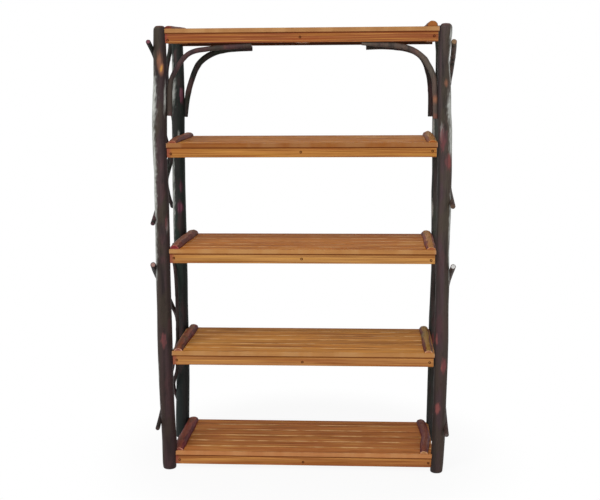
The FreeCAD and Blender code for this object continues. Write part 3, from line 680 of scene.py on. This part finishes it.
# Middle line of each bent stick from its foot to its inner end, read along the photograph: X and height in millimetres;
# its thickness along that line: share of the length and share of the CAD radius; and its spots.
BRACKETS = {
    ("left", "front"): (
        ((-523, 1477), (-521, 1524), (-520, 1559), (-517, 1594), (-512, 1618), (-505, 1635), (-489, 1662), (-472, 1688),
         (-456, 1707), (-435, 1722), (-410, 1731), (-375, 1736), (-330, 1741), (-268, 1745), (-192, 1750)),
        ((0, 1.1), (0.22, 1.1), (0.27, 0.95), (0.5, 1.0), (0.75, 0.98), (1, 0.9)), ()),
    ("right", "front"): (
        ((530, 1462), (529, 1503), (528, 1542), (526, 1573), (524, 1605), (519, 1629), (512, 1647), (504, 1662),
         (495, 1677), (485, 1693), (470, 1707), (448, 1723), (415, 1737), (379, 1744), (331, 1748), (292, 1750),
         (240, 1753)),
        ((0, 1.0), (0.2, 1.0), (0.4, 1.1), (0.7, 1.05), (0.85, 0.9), (1, 0.6)),
        (("knot", 0.15, 22, 0.65), ("peel", 0.01, 24, 1.0))),
    ("left", "back"): (
        ((-523, 1451), (-519, 1484), (-515, 1515), (-508, 1553), (-499, 1585), (-488, 1616), (-474, 1651), (-455, 1681),
         (-432, 1701), (-404, 1717), (-377, 1727), (-340, 1734), (-289, 1738), (-227, 1739)),
        ((0, 1.05), (0.2, 1.2), (0.6, 1.3), (0.85, 1.15), (1, 1.05)), ()),
    ("right", "back"): (
        ((532, 1448), (532, 1518), (531, 1551), (528, 1585), (523, 1619), (517, 1640), (511, 1661), (501, 1684),
         (485, 1703), (460, 1720), (426, 1731), (388, 1737), (337, 1741), (257, 1740)),
        ((0, 1.05), (0.3, 1.05), (1, 1.0)), ()),
}


def curve(points, count):
    """Evenly spaced points of a smooth line through the given ones."""
    points = np.array(points, float)
    run = run_to(points)
    slope = np.gradient(points, run, axis=0)
    place = np.linspace(0, run[-1], count)
    k = np.clip(np.searchsorted(run, place, side="right") - 1, 0, len(run) - 2)
    span = (run[k + 1] - run[k])[:, None]
    t = (place - run[k])[:, None] / span
    return ((2 * t**3 - 3 * t**2 + 1) * points[k] + (t**3 - 2 * t**2 + t) * span * slope[k]
            + (3 * t**2 - 2 * t**3) * points[k + 1] + (t**3 - t**2) * span * slope[k + 1])


def bracket(side, row, seed):
    """Bent stick under the top shelf: an arm along the log, a bend, and an arm along the apron."""
    line, girth, spots = BRACKETS[side, row]
    node = f"bracket_{row}_{side}"
    low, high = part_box(node)
    flat = curve(line, BRACKET_STEPS) * MM
    centres = np.stack([flat[:, 0], np.full(len(flat), (low.y + high.y) / 2), flat[:, 1]], axis=-1)
    radii = BRACKET_RADIUS * np.interp(np.linspace(0, 1, BRACKET_STEPS), *zip(*girth))
    stick(node, centres, np.array([0, 1.0, 0]), radii, paints[node], seed, BRACKET_BUDS, BRACKET_ENDS,
          BRACKET_SAWN_ROUND, spots)


RAIL_AROUND = 25
RAIL_STEPS = 56
RAIL_FRONT_ROUND = 1.6 * MM
RAIL_BACK_ROUND = 3.5 * MM
BACK_TAPER = 30 * MM
BACK_LOSS = 0.15
FRONT_WIDTH = 0.88
# Share of the height at which the middle of an end lies, how full the half round is, and the most it grows
END_MIDDLE = 0.4
RAIL_POWER = 0.92
MOST_GROWTH = 1.08
# Uneven growth: slow, lumpy and in strips, as shares of the size, with the scale of each noise
RAIL_SWELL, RAIL_LUMP, RAIL_STRIP = 0.07, 0.05, 0.03
RAIL_SCALES = (0.9, 7.0, 0.9), (3.0, 26.0, 3.0), (5.0, 9.0, 5.0)
# Share of the radius from which the underside is flat
FLAT_FROM = 0.9
# Heights on the half round between which the paler crest starts, partly worn bark and partly painted light on the top,
# and how ragged its rim is
CREST = (0.55, 1.05)
CREST_RAGGED = 0.20
# Sideways drift of every rail, at four places from its front to its back
RAIL_DRIFT = 2.0 * MM * np.array([0.3, -0.7, 0.8, -0.2])
WHITTLED = 75

# Half width, height, front height, places of front, middle and back towards the logs and, where it isn't the usual one,
# length of the whittled part, in millimetres; then the tints of flank, crest, warm flank and patches, and of the inside
# and the rim of the front end.
RAILS = {
    (1, "left"): ((17, 12, 11, (12, 12, 10)), ("561F16", "6E3020", "64251A", "643C22", "6A2E22", "8A4630")),
    (1, "right"): ((24, 14, 21.5, (6, 9, 10), 240), ("60341C", "86542A", "6E3E20", "5E4626", "965A2A", "9E6430")),
    (2, "left"): ((20, 18, 10, (8, 4, 0)), ("60281C", "9C5E40", "7A3826", "764A2C", "8A4A36", "AE7256")),
    (2, "right"): ((20, 20, 10, (12, 12, 12)), ("764226", "AC763A", "864C2C", "766628", "9A5626", "B47A42")),
    (3, "left"): ((22, 22, 16, (11, 2, -7), 90), ("5E2618", "9C644A", "722E22", "684224", "78282C", "A05A54")),
    (3, "right"): ((21, 21, 11, (13, 13, 13)), ("602A2C", "B88048", "803F2C", "746230", "9A5632", "CC9468")),
    (4, "left"): ((20, 21, 10, (8, 5, 1)), ("561C1A", "945236", "742C24", "5E4620", "7A3A2C", "E4B498")),
    (4, "right"): ((19, 20, 10, (8, 8, 8)), ("5A2418", "A07838", "6E3220", "72643A", "9A6644", "DCAA80")),
    (5, "left"): ((23, 20, 11, (17, 17, 12)), ("561F22", "904A36", "6C282A", "643A24", "70302E", "D89A80")),
    (5, "right"): ((19, 21, 10, (-6, 12, -1)), ("541E22", "7A4432", "60282A", "6E4034", "A6784C", "DCAC88")),
}


def rail(number, side, seed, wide, tall, front_tall, outwards, taper=WHITTLED):
    """Half of a split log, flat side down, with its front end whittled to another height. Lengths as in RAILS."""
    node = f"shelf_{number}_rail_{side}"
    low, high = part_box(node)
    middle = (low.x + high.x) / 2
    length = high.y - low.y
    along, share = rounded_ends(length, front_tall * MM, RAIL_FRONT_ROUND, RAIL_BACK_ROUND, length / RAIL_STEPS)
    turn = np.linspace(0, math.pi, RAIL_AROUND)
    v = np.repeat(along[:, None], RAIL_AROUND, axis=1)
    t = np.repeat(turn[None, :], len(along), axis=0)
    unit = np.stack([np.cos(t), v, np.sin(t)], axis=-1)
    swell, lump, strip = [rough_field(unit, scale, seed + k) for scale, k in zip(RAIL_SCALES, (0, 3, 7))]
    drift = np.interp(along, np.linspace(0, length, len(RAIL_DRIFT)), RAIL_DRIFT)
    drift = drift + SIDES[side] * MM * np.interp(along, [0, length / 2, length], outwards)
    grow = 1 + RAIL_SWELL * swell + RAIL_LUMP * lump + RAIL_STRIP * strip
    rise = front_tall + (tall - front_tall) * smooth(v, 0, taper * MM)
    rise = rise * (1 - BACK_LOSS * smooth(v, length - BACK_TAPER, length)) * MM
    spread = wide * (FRONT_WIDTH + (1 - FRONT_WIDTH) * smooth(v, 0, taper * MM)) * MM
    inner = np.repeat(share[:, None], RAIL_AROUND, axis=1)
    x = middle + drift[:, None] + spread * grow * np.cos(t) * inner
    z = low.z + END_MIDDLE * rise * (1 - inner) + rise * np.minimum(grow, MOST_GROWTH) * np.sin(t) ** RAIL_POWER * inner
    flat = (np.sin(t) < 1e-6) & (inner > FLAT_FROM)
    z = np.where(flat, low.z, np.clip(z, low.z, high.z))
    rings = np.stack([x, low.y + v, z], axis=-1)
    crest = smooth(np.sin(t) + CREST_RAGGED * lump, *CREST)
    # The crest goes in as the peel value: worn bark and painted light on the top
    painted = {"peel": crest, "core": inner, "sawn": smooth(inner, *RAIL_FACE)}
    painted = {key: values[:, ::-1] for key, values in painted.items()}
    skin(f"{node}_bark", rings[:, ::-1], painted, paints[f"rail_{number}_{side}"], node)


# Screw heads, turned from the middle outwards: share of the radius, and depth behind the face in millimetres
SCREW_RADIUS = 5.5 * MM
SCREW_AROUND = 12
SCREW_LATHE = ((0.02, 0.5), (0.16, 0.5), (0.34, 0.4), (0.42, -0.15), (0.62, -0.35), (0.86, -0.28), (1.0, 0.05),
               (1.05, 0.8))
# The rings up to this share of the radius are the recess, a little square
RECESS_SHARE = 0.5
RECESS_SQUARE = 0.12
# Where the left, middle and right screw of each apron lie, and how far below the top of the slats, in millimetres
SCREW_X = (-520.5, 0.0, 520.5)
SCREW_DROPS = {1: (45, 37, 37), 2: (42, 36, 33), 3: (36, 38, 42), 4: (37, 41, 38), 5: (39, 42, 38)}


def screw_points(place, sign):
    """The rings of a screw head on a face that looks towards -Y or +Y."""
    facing = Vector((0, sign, 0))
    side = facing.orthogonal().normalized()
    up = facing.cross(side)
    points = []
    for share, depth in SCREW_LATHE:
        for k in range(SCREW_AROUND):
            a = 2 * math.pi * k / SCREW_AROUND
            square = 1.0 + (RECESS_SQUARE * math.cos(4 * a) if share < RECESS_SHARE else 0)
            out = (side * math.cos(a) + up * math.sin(a)) * SCREW_RADIUS * share * square
            points.append(tuple(Vector(place) - facing * depth * MM + out))
    return points


def screw_faces(base):
    """The faces of a screw head whose points start at base: bands between its rings, and the floor of its recess."""
    faces = []
    for ring in range(len(SCREW_LATHE) - 1):
        here = base + ring * SCREW_AROUND
        there = here + SCREW_AROUND
        for k in range(SCREW_AROUND):
            n = (k + 1) % SCREW_AROUND
            faces.append([here + k, there + k, there + n, here + n])
    faces.append([base + k for k in range(SCREW_AROUND)])
    return faces


def screws(shelf):
    """The screw heads of a shelf: three on its front apron and three on its back one."""
    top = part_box(f"shelf_{shelf}_slats")[1].z
    points, faces = [], []
    for row, sign in ROWS.items():
        low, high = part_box(f"shelf_{shelf}_apron_{row}")
        face = low.y if sign < 0 else high.y
        for x, drop in zip(SCREW_X, SCREW_DROPS[shelf]):
            faces += screw_faces(len(points))
            points += screw_points((x * MM, face, top - drop * MM), sign)
    new_piece(f"shelf_{shelf}_screws", points, faces, screw_steel)


def steel(name):
    """Dull brown screw steel."""
    paint = Paint(bpy.data.materials.new(name))
    grain = paint.noise(paint.place(), (900.0, 900.0, 900.0), 2.0)
    colour = paint.ramp(grain, (0.35, "2E1206"), (0.65, "54260E"))
    return paint.done(colour, paint.spread(grain, 0.3, 0.7, 0.6, 0.8), grain, 0.05 * MM, 0.05)


# Peeled places of the bark: three tints of bare wood, then the two tints of a sawn end
PEEL_LOG = ("563638", "724040", "864C48", "4E2A28", "84584E")
PEEL_BACK = ("3E2230", "562A3A", "764A58", "4E2A28", "84584E")
PEEL_FRONT = ("5A3A36", "70483C", "7E5A48", "7A5A58", "8A6A60")
PEEL_LEFT_UPPER = ("33292A", "40302E", "4C3A36", "6A3440", "8C4E5C")
PEEL_LEFT_LOWER = ("33292A", "40302E", "4C3A36", "84605A", "B08C82")
PEEL_RIGHT_UPPER = ("5A3A36", "70483C", "7E5A48", "7C5E40", "A88662")
PEEL_RIGHT_LOWER = ("5A4A46", "70584C", "7E6A58", "A6A4A0", "DCDCDA")
# X of the middle of the logs on either side, and their radius
LEFT_LOGS = (-562.7 * MM, 28.7 * MM)
RIGHT_LOGS = (560.7 * MM, 26.7 * MM)
# Bump of twigs and brackets, as a share of the logs' bump
TWIG_RIDGE = 0.5
BRACKET_RIDGE = 0.6

# What bark takes: the name, and then the rest in its order
BARKS = {
    "bark_front_left": (0.3, "221C1C", "382D2D", "463537", "3E372C", PEEL_LOG, 1.0, (*LEFT_LOGS, "423B33", "2C2122")),
    "bark_front_right": (1.9, "262120", "423635", "4C3B3F", "463E33", PEEL_LOG, 1.0, (*RIGHT_LOGS, "262826", "4A4238")),
    "bark_back_left": (3.1, "161B1A", "262D29", "302E2D", "222F28", PEEL_BACK, 1.0, (*LEFT_LOGS, "2A322E", "1C2220"),
                       BACK_FOOT_TINT),
    "bark_back_right": (4.7, "2A2E2D", "464744", "524A49", "444B42", PEEL_LOG, 1.0, (*RIGHT_LOGS, "384240", "4E4646"),
                        BACK_FOOT_TINT),
    "twig_left_upper": (5.3, "181816", "262422", "32282A", "22261F", PEEL_LEFT_UPPER, TWIG_RIDGE),
    "twig_left_lower": (5.9, "181816", "262422", "322A28", "242820", PEEL_LEFT_LOWER, TWIG_RIDGE),
    "twig_right_upper": (6.1, "241E1A", "40322C", "54403A", "443C2C", PEEL_RIGHT_UPPER, TWIG_RIDGE),
    "twig_right_lower": (6.7, "2A2421", "443632", "54423C", "443C30", PEEL_RIGHT_LOWER, TWIG_RIDGE),
    "bracket_front_left": (7.7, "261B1D", "3E2D2E", "4C3432", "3A362E", PEEL_FRONT, BRACKET_RIDGE),
    "bracket_front_right": (8.3, "302A28", "4C423C", "5A4A42", "565048", PEEL_FRONT, BRACKET_RIDGE),
    "bracket_back_left": (8.9, "191A18", "2A2A26", "36292A", "242A20", PEEL_FRONT, BRACKET_RIDGE),
    "bracket_back_right": (9.4, "201B1A", "382E2C", "463230", "302E28", PEEL_FRONT, BRACKET_RIDGE),
}
paints = {name: bark(name, *facts) for name, facts in BARKS.items()}
screw_steel = steel("screw_steel")

# Shelf by shelf: paler and deeper oak of the slats, tint of their front edge, and the oak of the front and back apron.
# The slats' oak is paler than the aprons', partly its own tone and partly painted light on the tops, which the lamps
# reach less; the edge tint keeps that painted light off the deck's front and back faces.
OAK = {
    1: (("B8804E", "A06A3C"), "9F7146", ("864C2E", "703C28"), ("905834", "7C462B")),
    2: (("C2741E", "A4580E"), "7C4624", ("A9723A", "905B2B"), ("A46E3A", "8A562B")),
    3: (("CC7C32", "AC5E26"), "A67444", ("B17F49", "956537"), ("A87440", "8C5A32")),
    4: (("D69040", "BA7638"), "A47346", ("B27A48", "925D34"), ("AC7444", "8E5A32")),
    5: (("C2763E", "A25C2E"), "B3764A", ("B17341", "915830"), ("A86E40", "8A5630")),
}
# How much the slats redden towards their back
BACK_TINTS = {3: 0.45, 4: 0.05}
CLEAT_OAK = ("A56F42", "865230")
SLAT_THICKNESS = 19 * MM
SLAT_GAP = 3.2 * MM
SLAT_COUNT = 6


def oak_shelf(shelf):
    """Gives the boards of a shelf, which the scene takes over from the CAD model, their oak."""
    low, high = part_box(f"shelf_{shelf}_slats")
    pitch = (high.y - low.y + SLAT_GAP) / SLAT_COUNT
    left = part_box(f"shelf_{shelf}_apron_front")[0].x
    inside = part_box(f"shelf_{shelf}_apron_back")[0].y
    slats, edge, front, back = OAK[shelf]
    shared = {"seam": high.z - SLAT_THICKNESS, "end": high.x - END_WIDTH}
    looks = {
        "slats": oak(f"oak_slats_{shelf}", shelf * 2.3, *slats, boards=(low.y, pitch), edge=edge,
                     back_tint=BACK_TINTS.get(shelf, 0.0), **shared),
        "apron_front": oak(f"oak_front_{shelf}", shelf * 3.7, *front, log_shade=left, **shared),
        "apron_back": oak(f"oak_back_{shelf}", shelf * 4.1, *back, shade=inside, **shared),
        "cleats": oak(f"oak_cleats_{shelf}", shelf * 5.9, *CLEAT_OAK, along="Y"),
    }
    for boards, material in looks.items():
        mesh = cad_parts[f"shelf_{shelf}_{boards}"].data
        mesh.materials.clear()
        mesh.materials.append(material)


for shelf in SHELVES:
    oak_shelf(shelf)
for node in LOGS:
    log(node)
# The logs have seeds of their own, and the other sticks count on from here
FIRST_SEED = 20
seeds = itertools.count(FIRST_SEED)
for side, panel, row in TWIGS:
    twig(side, panel, row, next(seeds))
for side, row in BRACKETS:
    bracket(side, row, next(seeds))
for (number, side), (form, tints) in RAILS.items():
    seed = next(seeds)
    name = f"rail_{number}_{side}"
    paints[name] = split(name, seed * 0.37, *tints[:4], tints[4:])
    rail(number, side, seed, *form)
for shelf in SHELVES:
    screws(shelf)


# Floor, light and camera
FLOOR_HALF = 14.0
FLOOR_GREY = (0.85, 0.85, 0.85, 1)
# From the first to the second distance, what shows of the floor fades from nearly white to white
FADE = (0.6, 1.0)
FADE_WHITE = 0.92
SKY = 0.46
# Place, width and power of the lamps, and the point that each looks at
LAMPS = {
    "key": ((-2.2, -4.6, 5.0), 3.0, 210, (0, 0, 0.9)),
    "fill": ((2.6, -6.4, 0.9), 3.0, 110, (0, 0, 0.7)),
}
# The camera that the photograph was taken from, worked out from the shelf corners and logs: its place, and its yaw,
# pitch and roll
CAMERA_PLACE = (0.2593, -4.5202, 1.7198)
CAMERA_TURN = (0.06135, 0.17892, -0.00767)
CAMERA_LENS, CAMERA_SENSOR = 65.417, 36.0


def white_floor():
    """A floor that looks white apart from a faint shadow under the stand, and lights the stand as a grey one."""
    corners = [(x * FLOOR_HALF, y * FLOOR_HALF, 0) for x, y in ((-1, -1), (1, -1), (1, 1), (-1, 1))]
    mesh = bpy.data.meshes.new("floor")
    mesh.from_pydata(corners, [], [(0, 1, 2, 3)])
    floor = placed("floor", mesh)
    paint = Paint(bpy.data.materials.new("floor_white"))
    far = paint.add("VectorMath", {0: paint.place()}, 1, operation="LENGTH")
    grey = paint.add("BsdfDiffuse", {"Color": FLOOR_GREY})
    white = paint.add("Emission", {"Color": WHITE, "Strength": 1.0})
    seen = paint.add("MixShader", {0: paint.spread(far, *FADE, FADE_WHITE, 1.0), 1: grey, 2: white})
    mesh.materials.append(paint.shown(paint.add("MixShader", {0: paint.seen_rays(), 1: grey, 2: seen})))


def white_sky():
    """A sky that looks white and lights softly."""
    paint = Paint(bpy.data.worlds.new("studio"))
    soft = paint.add("Background", {"Color": WHITE, "Strength": SKY})
    plain = paint.add("Background", {"Color": WHITE, "Strength": 1.0})
    sky = paint.add("MixShader", {0: paint.seen_rays(), 1: soft, 2: plain})
    bpy.context.scene.world = paint.shown(sky, "OutputWorld")


def softbox(name, place, width, power, target):
    """A square lamp that looks at a target."""
    lamp = bpy.data.lights.new(name, "AREA")
    lamp.shape = "SQUARE"
    lamp.size = width
    lamp.energy = power
    box = placed(name, lamp)
    box.location = place
    box.rotation_euler = (Vector(target) - Vector(place)).to_track_quat("-Z", "Y").to_euler()


def set_camera():
    """Puts the camera at its place and turns it."""
    yaw, pitch, roll = CAMERA_TURN
    forward = Vector((-math.sin(yaw) * math.cos(pitch), math.cos(yaw) * math.cos(pitch), -math.sin(pitch)))
    level = Vector((math.cos(yaw), math.sin(yaw), 0))
    upright = level.cross(forward)
    right = math.cos(roll) * level + math.sin(roll) * upright
    up = -math.sin(roll) * level + math.cos(roll) * upright
    lens = bpy.data.cameras.new("camera")
    lens.lens = CAMERA_LENS
    lens.sensor_width = CAMERA_SENSOR
    lens.sensor_fit = "HORIZONTAL"
    camera = placed("camera", lens)
    camera.matrix_world = Matrix.Translation(CAMERA_PLACE) @ Matrix((right, up, -forward)).transposed().to_4x4()
    bpy.context.scene.camera = camera


white_floor()
white_sky()
for name, facts in LAMPS.items():
    softbox(name, *facts)
set_camera()
bpy.context.scene.view_settings.view_transform = "Standard"
